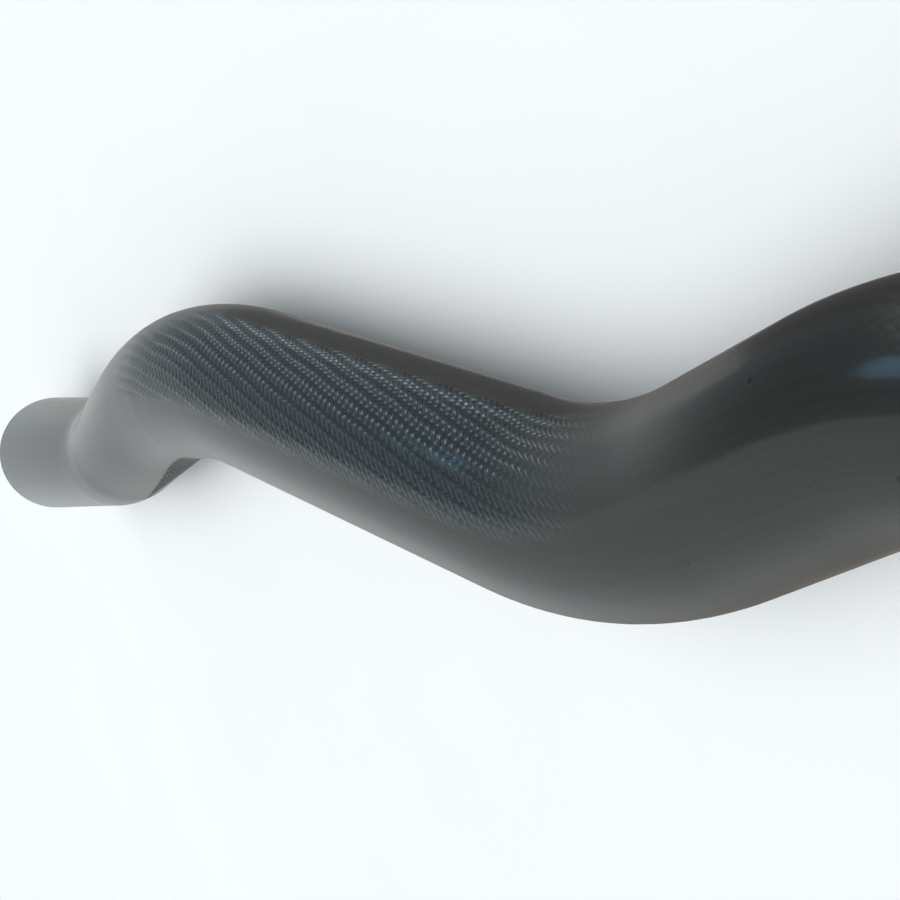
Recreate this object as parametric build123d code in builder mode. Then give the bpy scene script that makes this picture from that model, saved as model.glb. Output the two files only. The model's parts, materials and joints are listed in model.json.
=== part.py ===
"""Technical ice axe: a bent carbon shaft, a bolted modular head, a sliding finger trigger and a spike.

Millimetres. The origin is the centre of the clip-in eye in the head, on the axis of the upper shaft.
+X runs up the shaft through the head, +Y points to the pick side, and +Z is across the axe.
The axe lies on its side, on the plane z = -rest_half.
"""

import os

from build123d import *

os.makedirs("parts", exist_ok=True)

# ---------------------------------------------------------------- driving sizes
# Shaft: a moulded carbon tube. Its route runs from the head to the butt as straight runs and bends.
shaft_top_x = -22.0  # where the tube ends inside the head
upper_run = 130.0  # straight stretch that the trigger slides on
neck_turn, neck_bend = 19.0, 50.0  # degrees and bend radius, below the upper run
neck_run = 20.0
crook_turn, crook_bend = -33.0, 70.0  # above the main grip
grip_run = 80.0
heel_turn, heel_bend = 31.0, 110.0  # below the main grip
heel_run = 28.0
butt_turn, butt_bend = -17.0, 40.0
butt_run = 52.0
upper_r = 13.5  # outer radii along the tube
crook_r = 14.8
heel_r = 16.2
waist_r = 14.0
butt_r = 16.3
shaft_wall = 1.8
station_gap = 9.0  # spacing of the tube's sections

# Clearances
bond_gap = 0.05  # radial room for glue, threads and hand fits
cap_gap = 0.20  # radial room round the butt cap's spigot
slide_gap = 0.08  # radial room of the trigger on the tube
pin_gap = 0.05  # radial room of the lever on its pin
moving_gap = 0.3  # room between pieces that pass each other
rest_half = 16.3  # half the thickness that lies on a floor

# Head: a forged body with a skirt over the tube and cheeks that clamp the pick and the hammer
skirt_length = 26.0
skirt_r = 16.0
skirt_lip = 0.8
shoulder_length = 13.0  # the round skirt runs out into the flat cheeks over this length
cheek_half = 9.5
cheek_chamfer = 1.0
cheek_corner = 3.0
head_top_x = 13.5
head_foot_x = -22.0
head_front_y = 47.0
head_back_y = -29.0
head_step, head_slope = 2.0, 6.0  # how far the outline steps in and slopes off at its corners
head_chin_x, head_chin_y = 5.0, 9.0  # the cut under the front, from the pick and from the front edge
eye_land = 3.0  # metal beside the eye at the top
eye_r, eye_chamfer = 7.0, 0.8
blade = 4.0  # thickness of the pick and of the hammer's tang
slot_gap = 0.05  # room each side of the blade in its slot
slot_floor_y = 9.0  # how near the eye the two slots come
root_gap = 0.4  # room round the foot of the pick and of the tang

insert_length = 50.0
insert_bore_r = 6.5
rivet_r, rivet_head_r, rivet_head_depth = 2.5, 4.2, 1.6
rivet_half = 15.4  # half a rivet's length; its heads lie a little under the top of the skirt
rivet_places = {"upper": 0.3, "lower": 0.7}  # share of the skirt's length
ring_length, ring_r = 6.0, 15.2

# M8 joints through the cheeks: a bolt, two washers and a nut each
m8_joints = {"pick_front": (-1.5, 38.0), "pick_rear": (-4.0, 19.0), "hammer": (-4.0, -18.0)}
bolt_r, bolt_hole_gap = 4.0, 0.15
bolt_recess = 0.4  # how far the bolt's end stays inside the nut
bolt_head_r, bolt_head_high = 6.6, 4.4
head_chamfer_share, end_chamfer_share = 0.16, 0.12  # of a screw head's height, of its shank's radius
hex_key, hex_depth = 5.0, 2.6
washer_r, washer_thick, washer_gap = 7.6, 1.2, 0.25
nut_flats, nut_chamfer = 13.0, 0.6
nut_thick = rest_half - cheek_half - washer_thick  # the nuts are what the head lies on

# Pick: a blade of one thickness, drooping and toothed below, with a thinned tip
pick_top_x = 9.0
pick_low_x = -13.0
pick_crest = [(4.5, 80.0), (-9.0, 112.0), (-30.0, 143.0)]  # the upper edge, between head and tip
pick_tip_x, pick_tip_y = -57.0, 168.0
crest_way, nose_way = (-0.78, 0.62), (0.66, -0.75)  # directions of the two edges where they meet the nose
pick_nose = [(-60.5, 163.5), (-52.0, 150.5)]  # the short bevel under the point
pick_belly = [(-31.0, 124.0), (-17.5, 96.0), (-13.5, 70.0)]  # the lower edge, from nose to head
tooth_count, tooth_pitch = 11, 7.2
tooth_depth, tooth_lean = 2.6, 1.2
first_tooth = 8.0  # from the nose, along the belly
tip_taper, tip_half = 36.0, 0.9

# Pick weights: two plates with two M5 screws and nuts
weight_x, weight_y, weight_turn = -3.6, 66.5, 98.0  # centre, and the blade's direction there
weight_length, weight_width, weight_thick = 34.0, 15.0, 5.6
weight_pitch = 19.0
weight_bevel = 1.2
m5_r, m5_head_r, m5_head_high = 2.5, 4.2, 2.8
m5_flats, m5_nut_thick = 8.0, 2.8
m5_key, m5_key_depth = 3.0, 1.5

# Hammer: a round face on a waisted neck, with a tang in the rear slot
hammer_x = -4.0
hammer_face_y = -52.0
hammer_face_r, hammer_face_thick, hammer_face_chamfer = 12.5, 8.0, 1.0
hammer_neck_r, hammer_neck_y = 7.4, -38.0
hammer_shoulder_r, hammer_shoulder_thick = 8.6, 2.0
waist_ways = [(-1, 0.4), (0.3, 1)]  # directions of the neck's side at the face and at the shoulder
tang_half, tang_corner = 9.0, 2.0
dowel_r, dowel_x, dowel_y = 2.0, 2.8, -25.0
dowel_inset = 0.3

# Butt: a domed cap glued into the tube, and a spike held in it by a grub screw
cap_depth = 14.5
cap_flat_r = 8.2
spigot_length, spigot_lead = 18.0, 1.0
spike_shank_r, spike_shank_length = 4.0, 20.0
shank_end_gap = 0.5
spike_collar_r, spike_collar_thick = 7.5, 2.5
spike_thick = 5.0
spike_root_half, spike_half_width, spike_waist_half, spike_point_half = 6.0, 7.4, 4.0, 1.4
spike_cheek, spike_waist, spike_length, spike_point_slope = 13.5, 23.0, 34.0, 0.2  # ends of the full width, hollow and point
spike_bevel = 0.9
tether_eye_r, tether_eye_out = 4.0, 9.0  # radius, and distance from the cap
grub_r, grub_length, grub_out = 2.0, 8.5, 5.0
grub_key, grub_key_depth = 2.0, 2.0

# Trigger: a lined sleeve on the upper run, clamped by a cam lever and a shoe
trigger_length = 36.0
liner_wall, liner_inset = 1.0, 1.0
sleeve_wall, sleeve_lip = 1.3, 0.6
spine_half, spine_length = 8.0, 34.0
spine_corner, spine_bevel = 3.0, 0.8
finger_half = 6.5
finger_arc_r = 12.0  # the hollow that the finger lies in
finger_arc_x, finger_arc_rise = 13.0, 11.0  # its centre, from the trigger's middle and from the sleeve
finger_rise, finger_back_x = 24.0, -15.0
finger_crest_x = (2.0, 5.0)  # the hook's flat top, from the trigger's middle
finger_bulge_x = -6.5
finger_bevel = 1.0
pad_thick, pad_half = 1.6, 5.0
pad_start, pad_sweep = 128.0, 104.0  # degrees
pin_ahead = 11.0  # from the trigger's middle to the lever's pin
pin_r, pin_inset = 1.5, 0.2
hub_r, cam_throw = 3.0, 0.8
lever_half, lever_length = 4.4, 26.0
lever_outer_drop, lever_inner_drop = (4.6, 7.4), (0.8, 1.9, 5.4)  # below the pin, from the hub to the tail
lever_bow = (0.4, 0.6)  # where the outer and the inner edge are steered, of the lever's length
lever_tail = 0.6
lever_join = 0.7  # where the blade leaves the hub, of its radius
channel_drop, spine_drop = 0.4, 4.0  # the channel's floor and the spine's back, below the pin
shoe_length, shoe_gap, shoe_thick, shoe_bevel = 9.0, 0.2, 2.8, 0.4

round_end_share = 0.2  # chamfer on a pin's or a dowel's ends, of its radius

BASE = (Align.CENTER, Align.CENTER, Align.MIN)
HANG = (Align.CENTER, Align.CENTER, Align.MAX)


def keep(piece, name):
    """Labels a finished piece and writes its STEP file."""
    piece.part.label = name
    export_step(piece.part, f"parts/{name}.step")


# ---------------------------------------------------------------- the shaft's route
def shaft_route():
    """The runs and bends of the tube's axis, from the head to the butt."""
    runs = [upper_run, neck_run, grip_run, heel_run, butt_run]
    bends = [
        (neck_turn, neck_bend),
        (crook_turn, crook_bend),
        (heel_turn, heel_bend),
        (butt_turn, butt_bend),
    ]
    start, heading = Vector(shaft_top_x, 0), Vector(-1, 0)
    edges = []
    for index, run in enumerate(runs):
        line = Line(start, start + heading * run, mode=Mode.PRIVATE)
        edges.append(line)
        start = line @ 1
        if index < len(bends):
            turn, bend = bends[index]
            arc = JernArc(start, heading, bend, turn, mode=Mode.PRIVATE)
            edges.append(arc)
            start, heading = arc @ 1, arc % 1
    return edges


route = shaft_route()
route_lengths = [edge.length for edge in route]


def middle_of(index):
    """Distance along the route to the middle of one of its edges."""
    return sum(route_lengths[:index]) + route_lengths[index] / 2


radius_marks = [
    (0.0, upper_r),
    (middle_of(1), upper_r),
    (middle_of(3), crook_r),
    (middle_of(5), heel_r),
    (middle_of(7), waist_r),
    (sum(route_lengths), butt_r),
]


def tube_radius(distance):
    """Outer radius of the tube at a distance along the route, in straight tapers between the marks."""
    for (d0, r0), (d1, r1) in zip(radius_marks, radius_marks[1:]):
        if distance <= d1:
            return r0 + (r1 - r0) * (distance - d0) / (d1 - d0)
    return butt_r


def moulded_stations():
    """Planes across the tube below the upper run, each with the outer radius there."""
    planes = []
    done = route_lengths[0]
    for edge in route[1:]:
        steps = max(1, round(edge.length / station_gap))
        for step in range(1 if planes else 0, steps + 1):
            share = step / steps
            plane = Plane(origin=edge @ share, x_dir=(0, 0, 1), z_dir=edge % share)
            planes.append((plane, tube_radius(done + edge.length * share)))
        done += edge.length
    return planes


stations = moulded_stations()
neck_x = shaft_top_x - upper_run
skirt_end_x = shaft_top_x - skirt_length
butt = stations[-1][0]  # the plane across the butt end, its normal pointing out of the shaft
rivet_xs = {name: shaft_top_x - share * skirt_length for name, share in rivet_places.items()}

# ---------------------------------------------------------------- shaft
with BuildPart() as shaft:
    for plane, radius in stations:
        with BuildSketch(plane):
            Circle(radius)
    loft()
    with BuildSketch(Plane.YZ.offset(neck_x)):
        Circle(upper_r)
    extrude(amount=upper_run)
    for plane, radius in stations:
        with BuildSketch(plane):
            Circle(radius - shaft_wall)
    loft(mode=Mode.SUBTRACT)
    with BuildSketch(Plane.YZ.offset(neck_x)):
        Circle(upper_r - shaft_wall)
    extrude(amount=upper_run, mode=Mode.SUBTRACT)
    with Locations(*[(x, 0, 0) for x in rivet_xs.values()]):
        Cylinder(rivet_r + bond_gap, 4 * skirt_r, mode=Mode.SUBTRACT)
keep(shaft, "shaft")


# ---------------------------------------------------------------- head body
def rivet_points(x, gap):
    """Corners of half a rivet's section on the XZ plane, beside its axis."""
    return [
        (x, -rivet_half),
        (x + rivet_head_r + gap, -rivet_half),
        (x + rivet_r + gap, rivet_head_depth - rivet_half),
        (x + rivet_r + gap, rivet_half - rivet_head_depth),
        (x + rivet_head_r + gap, rivet_half),
        (x, rivet_half),
    ]


with BuildPart() as head_body:
    with BuildSketch() as cheeks:
        with BuildLine():
            Polyline(
                (head_foot_x, head_step - skirt_r),
                (head_foot_x + head_step, head_back_y + 2 * head_step),
                (head_foot_x + head_slope, head_back_y),
                (head_top_x - head_slope, head_back_y),
                (head_top_x, -eye_r - eye_land),
                (head_top_x, eye_r + eye_land),
                (head_top_x - head_step, head_front_y - head_slope),
                (head_top_x - head_slope, head_front_y),
                (pick_low_x - head_step, head_front_y),
                (pick_low_x - head_chin_x, head_front_y - head_chin_y),
                (head_foot_x, skirt_r - head_step),
                close=True,
            )
        make_face()
        fillet(cheeks.vertices(), radius=cheek_corner)
    extrude(amount=cheek_half, both=True)
    outlines = head_body.faces().filter_by(Axis.Z).edges()
    chamfer(outlines, cheek_chamfer)
    with BuildSketch(Plane.XY):
        with BuildLine():
            Polyline(
                (skirt_end_x, 0),
                (skirt_end_x, skirt_r - skirt_lip),
                (skirt_end_x + skirt_lip, skirt_r),
                (shaft_top_x - 1, skirt_r),
                (shaft_top_x + shoulder_length, cheek_half - cheek_chamfer),
                (shaft_top_x + shoulder_length, 0),
                close=True,
            )
        make_face()
    revolve(axis=Axis.X)
    with BuildSketch(Plane.YZ.offset(skirt_end_x)):
        Circle(upper_r + bond_gap)
    extrude(amount=skirt_length, mode=Mode.SUBTRACT)
    # The two slots: closed below near the shaft, and open all through beyond it.
    with BuildSketch(Plane.XY.offset(-blade / 2 - slot_gap)):
        for side in (1, -1):
            with BuildLine():
                Polyline(
                    (pick_low_x - root_gap, side * slot_floor_y),
                    (2 * head_top_x, side * slot_floor_y),
                    (2 * head_top_x, side * 2 * head_front_y),
                    (2 * head_foot_x, side * 2 * head_front_y),
                    (2 * head_foot_x, side * (skirt_r + root_gap)),
                    (pick_low_x - root_gap, side * (skirt_r + root_gap)),
                    close=True,
                )
            make_face()
    extrude(amount=blade + 2 * slot_gap, mode=Mode.SUBTRACT)
    with Locations(*m8_joints.values()):
        Hole(bolt_r + bolt_hole_gap, depth=4 * cheek_half)
    with Locations((dowel_x, dowel_y)):
        Hole(dowel_r + bond_gap, depth=4 * cheek_half)
    Hole(eye_r, depth=4 * cheek_half)
    eye_rims = head_body.edges().filter_by(GeomType.CIRCLE).filter_by(
        lambda rim: abs(rim.radius - eye_r) < 0.001 and abs(rim.arc_center.X) < 0.001
    )
    chamfer(eye_rims, eye_chamfer)
    for x in rivet_xs.values():
        with BuildSketch(Plane.XZ):
            with BuildLine():
                Polyline(*rivet_points(x, bond_gap), close=True)
            make_face()
        revolve(axis=Axis((x, 0, 0), (0, 0, 1)), mode=Mode.SUBTRACT)
        for face in (1, -1):
            with Locations(Plane((x, 0, face * rivet_half), z_dir=(0, 0, face))):
                Cylinder(rivet_head_r + bond_gap, skirt_r, align=BASE, mode=Mode.SUBTRACT)
keep(head_body, "head_body")

# ---------------------------------------------------------------- what joins the tube and the head
with BuildPart() as head_insert:
    with BuildSketch(Plane.YZ.offset(shaft_top_x)):
        Circle(upper_r - shaft_wall - bond_gap)
        Circle(insert_bore_r, mode=Mode.SUBTRACT)
    extrude(amount=-insert_length)
    chamfer(head_insert.faces().sort_by(Axis.X)[0].outer_wire().edges(), shaft_wall / 2)
    with Locations(*[(x, 0, 0) for x in rivet_xs.values()]):
        Cylinder(rivet_r + bond_gap, 4 * upper_r, mode=Mode.SUBTRACT)
keep(head_insert, "head_insert")

for name, x in rivet_xs.items():
    with BuildPart() as rivet:
        with BuildSketch(Plane.XZ):
            with BuildLine():
                Polyline(*rivet_points(x, 0), close=True)
            make_face()
        revolve(axis=Axis((x, 0, 0), (0, 0, 1)))
    keep(rivet, f"rivet_{name}")

with BuildPart() as skirt_ring:
    with BuildSketch(Plane.YZ.offset(skirt_end_x)):
        Circle(ring_r)
        Circle(upper_r + bond_gap, mode=Mode.SUBTRACT)
    extrude(amount=-ring_length)
    chamfer(skirt_ring.faces().sort_by(Axis.X)[0].outer_wire().edges(), skirt_lip)
keep(skirt_ring, "skirt_ring")


# ---------------------------------------------------------------- screws and nuts
def socket_screw(seat, shank_r, shank_length, head_r, head_high, key, key_depth):
    """A socket-head screw whose head sits on the seat plane, with its shank hanging below."""
    with BuildPart() as screw:
        with Locations(seat):
            Cylinder(head_r, head_high, align=BASE)
            Cylinder(shank_r, shank_length, align=HANG)
        rims = screw.edges().filter_by(GeomType.CIRCLE).sort_by(Axis.Z)
        chamfer(rims[-1], head_high * head_chamfer_share)
        chamfer(rims[0], shank_r * end_chamfer_share)
        with BuildSketch(seat.offset(head_high)):
            RegularPolygon(key / 2, 6, major_radius=False)
        extrude(amount=-key_depth, mode=Mode.SUBTRACT)
    return screw


def hex_nut(seat, flats, thick, bore_r):
    """A hexagon nut that stands on the seat plane."""
    with BuildPart() as nut:
        with BuildSketch(seat):
            RegularPolygon(flats / 2, 6, major_radius=False)
            Circle(bore_r, mode=Mode.SUBTRACT)
        extrude(amount=thick)
        corners = nut.edges().filter_by(Axis.Z)
        chamfer(corners, nut_chamfer)
    return nut


for name, (x, y) in m8_joints.items():
    above = Plane((x, y, cheek_half))
    below = Plane((x, y, -cheek_half), z_dir=(0, 0, -1))
    for side, face in {"upper": above, "lower": below}.items():
        with BuildPart() as washer:
            with BuildSketch(face):
                Circle(washer_r)
                Circle(bolt_r + washer_gap, mode=Mode.SUBTRACT)
            extrude(amount=washer_thick)
        keep(washer, f"{name}_washer_{side}")
    grip = 2 * (cheek_half + washer_thick) + nut_thick - bolt_recess
    bolt = socket_screw(
        above.offset(washer_thick), bolt_r, grip, bolt_head_r, bolt_head_high, hex_key, hex_depth
    )
    keep(bolt, f"{name}_bolt")
    nut = hex_nut(below.offset(washer_thick), nut_flats, nut_thick, bolt_r + bond_gap)
    keep(nut, f"{name}_nut")

# ---------------------------------------------------------------- pick
weight_axis = Plane((weight_x, weight_y, 0), x_dir=Vector(1, 0).rotate(Axis.Z, weight_turn))
weight_places = {"front": weight_pitch / 2, "rear": -weight_pitch / 2}
weight_points = {
    name: weight_axis.from_local_coords(Vector(offset, 0)) for name, offset in weight_places.items()
}

with BuildPart() as pick:
    with BuildSketch() as blade_outline:
        with BuildLine():
            foot = slot_floor_y + root_gap
            crest_start = (pick_top_x, head_front_y)
            belly_end = (pick_low_x, head_front_y)
            crest = Spline(
                crest_start, *pick_crest, (pick_tip_x, pick_tip_y), tangents=[(0, 1), crest_way]
            )
            Polyline((pick_tip_x, pick_tip_y), *pick_nose)
            belly = Spline(pick_nose[-1], *pick_belly, belly_end, tangents=[nose_way, (0, -1)])
            Polyline(belly_end, (pick_low_x, foot), (pick_top_x, foot), crest_start)
        make_face()
        for number in range(tooth_count):
            along = (first_tooth + number * tooth_pitch) / belly.length
            notch = Plane(origin=belly @ along, x_dir=belly % along, z_dir=(0, 0, 1))
            with Locations(notch):
                Polygon(
                    (0, -tooth_lean),
                    (tooth_lean, tooth_depth),
                    (tooth_pitch - tooth_lean, -tooth_lean),
                    align=None,
                    mode=Mode.SUBTRACT,
                )
    extrude(amount=blade / 2, both=True)
    bolt_points = [m8_joints["pick_front"], m8_joints["pick_rear"]]
    with Locations(*bolt_points):
        Hole(bolt_r + bolt_hole_gap, depth=2 * blade)
    with Locations(*weight_points.values()):
        Hole(m5_r + bolt_hole_gap, depth=2 * blade)
    # The thinned tip: a wedge is ground off each side, deepest at the point.
    tip = Plane((pick_tip_x, pick_tip_y, 0), x_dir=crest % 1 * -1, z_dir=Vector(0, 0, 1).cross(crest % 1))
    slope = (blade / 2 - tip_half) / tip_taper
    beyond = tip_taper / 4
    for side in (1, -1):
        with BuildSketch(tip):
            with BuildLine():
                Polyline(
                    (-beyond, side * (tip_half - slope * beyond)),
                    (-beyond, side * blade),
                    (tip_taper, side * blade),
                    (tip_taper, side * blade / 2),
                    close=True,
                )
            make_face()
        extrude(amount=tip_taper, both=True, mode=Mode.SUBTRACT)
keep(pick, "pick")

weight_faces = {
    "upper": weight_axis.offset(blade / 2),
    "lower": Plane(weight_axis.offset(-blade / 2).origin, x_dir=weight_axis.x_dir, z_dir=(0, 0, -1)),
}
for side, face in weight_faces.items():
    with BuildPart() as pick_weight:
        with BuildSketch(face):
            SlotOverall(weight_length, weight_width)
        extrude(amount=weight_thick)
        chamfer(pick_weight.faces().filter_by(Axis.Z).sort_by(SortBy.DISTANCE)[-1].edges(), weight_bevel)
        with Locations(*weight_points.values()):
            Hole(m5_r + bolt_hole_gap, depth=4 * weight_thick)
    keep(pick_weight, f"pick_weight_{side}")

for name, point in weight_points.items():
    head_seat = Plane((point.X, point.Y, blade / 2 + weight_thick))
    nut_seat = Plane((point.X, point.Y, -blade / 2 - weight_thick), z_dir=(0, 0, -1))
    shank = blade + 2 * weight_thick + m5_nut_thick - bolt_recess / 2
    screw = socket_screw(head_seat, m5_r, shank, m5_head_r, m5_head_high, m5_key, m5_key_depth)
    keep(screw, f"weight_screw_{name}")
    keep(hex_nut(nut_seat, m5_flats, m5_nut_thick, m5_r + bond_gap), f"weight_nut_{name}")

# ---------------------------------------------------------------- hammer
with BuildPart() as hammer:
    with BuildSketch(Plane.XY) as hammer_profile:
        with BuildLine():
            rim_y = hammer_face_y + hammer_face_thick
            shoulder_y = head_back_y - moving_gap - hammer_shoulder_thick
            Polyline(
                (hammer_x, hammer_face_y),
                (hammer_x + hammer_face_r - hammer_face_chamfer, hammer_face_y),
                (hammer_x + hammer_face_r, hammer_face_y + hammer_face_chamfer),
                (hammer_x + hammer_face_r, rim_y),
            )
            Spline(
                (hammer_x + hammer_face_r, rim_y),
                (hammer_x + hammer_neck_r, hammer_neck_y),
                (hammer_x + hammer_shoulder_r, shoulder_y),
                tangents=waist_ways,
            )
            Polyline(
                (hammer_x + hammer_shoulder_r, shoulder_y),
                (hammer_x + hammer_shoulder_r, shoulder_y + hammer_shoulder_thick),
                (hammer_x, shoulder_y + hammer_shoulder_thick),
                (hammer_x, hammer_face_y),
            )
        make_face()
    revolve(axis=Axis((hammer_x, 0, 0), (0, 1, 0)))
    with BuildSketch() as tang:
        tang_top_y = -slot_floor_y - root_gap
        tang_length = tang_top_y - (shoulder_y + hammer_shoulder_thick / 2)
        with Locations((hammer_x, tang_top_y - tang_length / 2)):
            Rectangle(2 * tang_half, tang_length)
        fillet(tang.vertices().group_by(Axis.Y)[-1], radius=tang_corner)
    extrude(amount=blade / 2, both=True)
    with Locations(m8_joints["hammer"]):
        Hole(bolt_r + bolt_hole_gap, depth=2 * blade)
    with Locations((dowel_x, dowel_y)):
        Hole(dowel_r + bond_gap, depth=2 * blade)
keep(hammer, "hammer")

with BuildPart() as hammer_dowel:
    with Locations((dowel_x, dowel_y)):
        Cylinder(dowel_r, 2 * (cheek_half - dowel_inset))
    chamfer(hammer_dowel.edges().filter_by(GeomType.CIRCLE), dowel_r * round_end_share)
keep(hammer_dowel, "hammer_dowel")

# ---------------------------------------------------------------- butt cap and spike
outward = butt.z_dir
cap_side = Plane(butt.origin, x_dir=outward, z_dir=(0, 0, 1))  # local x runs out of the butt
cap_flat = Plane(butt.origin + outward * cap_depth, x_dir=(0, 0, 1), z_dir=outward)
grub_top = spike_shank_r + bond_gap + grub_length
grub_seat = Plane(butt.origin + outward * grub_out, x_dir=outward, z_dir=(0, 0, -1))
spigot_end_r = tube_radius(sum(route_lengths) - spigot_length) - shaft_wall - cap_gap
spigot_root_r = butt_r - shaft_wall - cap_gap

with BuildPart() as butt_cap:
    with BuildSketch(cap_side):
        with BuildLine():
            Polyline(
                (cap_depth, cap_flat_r),
                (cap_depth, 0),
                (-spigot_length, 0),
                (-spigot_length, spigot_end_r - spigot_lead),
                (spigot_lead - spigot_length, spigot_end_r),
                (0, spigot_root_r),
                (0, butt_r),
            )
            TangentArc((0, butt_r), (cap_depth, cap_flat_r), tangent=(1, 0))
        make_face()
    revolve(axis=Axis(butt.origin, outward))
    with Locations(cap_flat):
        Cylinder(
            spike_shank_r + bond_gap, spike_shank_length + shank_end_gap, align=HANG, mode=Mode.SUBTRACT
        )
    with Locations(grub_seat):
        Cylinder(grub_r + bond_gap, 2 * butt_r, align=BASE, mode=Mode.SUBTRACT)
keep(butt_cap, "butt_cap")

with BuildPart() as spike:
    with Locations(cap_flat):
        Cylinder(spike_shank_r, spike_shank_length, align=HANG)
        Cylinder(spike_collar_r, spike_collar_thick, align=BASE)
    with BuildSketch(Plane(cap_flat.origin, x_dir=outward, z_dir=(0, 0, 1))) as spike_outline:
        root = spike_collar_thick / 2
        full = 2 * spike_collar_thick
        with BuildLine():
            for side in (1, -1):
                Polyline(
                    (root, 0),
                    (root, side * spike_root_half),
                    (full, side * spike_half_width),
                    (spike_cheek, side * spike_half_width),
                )
                Spline(
                    (spike_cheek, side * spike_half_width),
                    (spike_waist, side * spike_waist_half),
                    (spike_length, side * spike_point_half),
                    tangents=[(1, 0), (1, -side * spike_point_slope)],
                )
                Line((spike_length, side * spike_point_half), (spike_length, 0))
        make_face()
    extrude(amount=spike_thick / 2, both=True)
    tip_rims = spike.faces().filter_by(Axis.Z).edges().filter_by(
        lambda edge: (edge @ 0.5 - cap_flat.origin).dot(outward) > spike_cheek
    )
    chamfer(tip_rims, spike_bevel)
    with Locations(cap_flat.origin + outward * tether_eye_out):
        Hole(tether_eye_r, depth=2 * spike_thick)
keep(spike, "spike")

with BuildPart() as spike_grub_screw:
    with Locations(grub_seat.offset(spike_shank_r + bond_gap)):
        Cylinder(grub_r, grub_length, align=BASE)
    with BuildSketch(grub_seat.offset(grub_top)):
        RegularPolygon(grub_key / 2, 6, major_radius=False)
    extrude(amount=-grub_key_depth, mode=Mode.SUBTRACT)
keep(spike_grub_screw, "spike_grub_screw")

# ---------------------------------------------------------------- trigger
trigger_x = (skirt_end_x - ring_length + neck_x) / 2  # the middle of the tube's free straight run
trigger_start_x = trigger_x - trigger_length / 2
liner_r = upper_r + slide_gap + liner_wall
sleeve_r = liner_r + bond_gap + sleeve_wall
finger_x = trigger_x + finger_arc_x
finger_arc_y = sleeve_r + finger_arc_rise
finger_top_y = sleeve_r + finger_rise
shoe_front_y = -upper_r - shoe_gap
pin_x = trigger_x + pin_ahead
pin_y = shoe_front_y - shoe_thick - moving_gap - cam_throw - hub_r
channel_y = pin_y - channel_drop
spine_y = pin_y - spine_drop
shoe_window = shoe_length + 2 * moving_gap
channel_half = lever_half + moving_gap
pin_half = spine_half - pin_inset

with BuildPart() as trigger_body:
    with BuildSketch() as finger_outline:
        with BuildLine():
            hollow = CenterArc((finger_x, finger_arc_y), finger_arc_r, 270, -150)
            top_back, top_front = [(trigger_x + offset, finger_top_y) for offset in finger_crest_x]
            foot_back = (trigger_x + finger_back_x, liner_r)
            Polyline(hollow @ 1, top_front, top_back)
            ThreePointArc(top_back, (trigger_x + finger_bulge_x, finger_arc_y), foot_back)
            Polyline(foot_back, (trigger_x + finger_back_x, 0), (finger_x, 0), hollow @ 0)
        make_face()
    extrude(amount=finger_half, both=True)
    chamfer(trigger_body.faces().filter_by(Axis.Z).edges(), finger_bevel)
    with BuildSketch(Plane.YZ.offset(trigger_start_x)):
        Circle(sleeve_r)
    extrude(amount=trigger_length)
    ends = [trigger_body.faces().sort_by(Axis.X)[place] for place in (0, -1)]
    chamfer([end.outer_wire().edges() for end in ends], sleeve_lip)
    with BuildSketch() as spine_outline:
        with Locations((trigger_x, spine_y / 2)):
            Rectangle(spine_length, -spine_y)
        fillet(spine_outline.vertices().group_by(Axis.Y)[0], radius=spine_corner)
    extrude(amount=spine_half, both=True)
    chamfer(trigger_body.faces().sort_by(Axis.Y)[0].edges(), spine_bevel)
    with BuildSketch(Plane.YZ.offset(trigger_start_x)):
        Circle(liner_r + bond_gap)
    extrude(amount=trigger_length, mode=Mode.SUBTRACT)
    with BuildSketch() as channel:
        with Locations((trigger_x, channel_y - trigger_length / 2)):
            Rectangle(2 * trigger_length, trigger_length)
        with Locations((pin_x, pin_y)):
            Rectangle(shoe_window, 2 * sleeve_r)
    extrude(amount=channel_half, both=True, mode=Mode.SUBTRACT)
    with Locations((pin_x, pin_y)):
        Hole(pin_r + bond_gap, depth=4 * spine_half)
keep(trigger_body, "trigger_body")

with BuildPart() as trigger_liner:
    with BuildSketch(Plane.YZ.offset(trigger_start_x + liner_inset)):
        Circle(liner_r)
        Circle(upper_r + slide_gap, mode=Mode.SUBTRACT)
    extrude(amount=trigger_length - 2 * liner_inset)
    with Locations((pin_x, -liner_r, 0)):
        Box(shoe_window, 2 * liner_r, 2 * channel_half, mode=Mode.SUBTRACT)
keep(trigger_liner, "trigger_liner")

with BuildPart() as finger_pad:
    with BuildSketch():
        with BuildLine():
            back = CenterArc((finger_x, finger_arc_y), finger_arc_r, pad_start, pad_sweep)
            front = CenterArc((finger_x, finger_arc_y), finger_arc_r - pad_thick, pad_start, pad_sweep)
            Line(back @ 0, front @ 0)
            Line(back @ 1, front @ 1)
        make_face()
    extrude(amount=pad_half, both=True)
keep(finger_pad, "finger_pad")

with BuildPart() as clamp_shoe:
    with Locations((pin_x, shoe_front_y - shoe_thick / 2, 0)):
        Box(shoe_length, shoe_thick, 2 * lever_half)
    chamfer(clamp_shoe.faces().sort_by(Axis.Y)[-1].edges(), shoe_bevel)
keep(clamp_shoe, "clamp_shoe")

with BuildPart() as lever_pin:
    with Locations((pin_x, pin_y)):
        Cylinder(pin_r, 2 * pin_half)
    chamfer(lever_pin.edges().filter_by(GeomType.CIRCLE), pin_r * round_end_share)
keep(lever_pin, "lever_pin")

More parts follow.
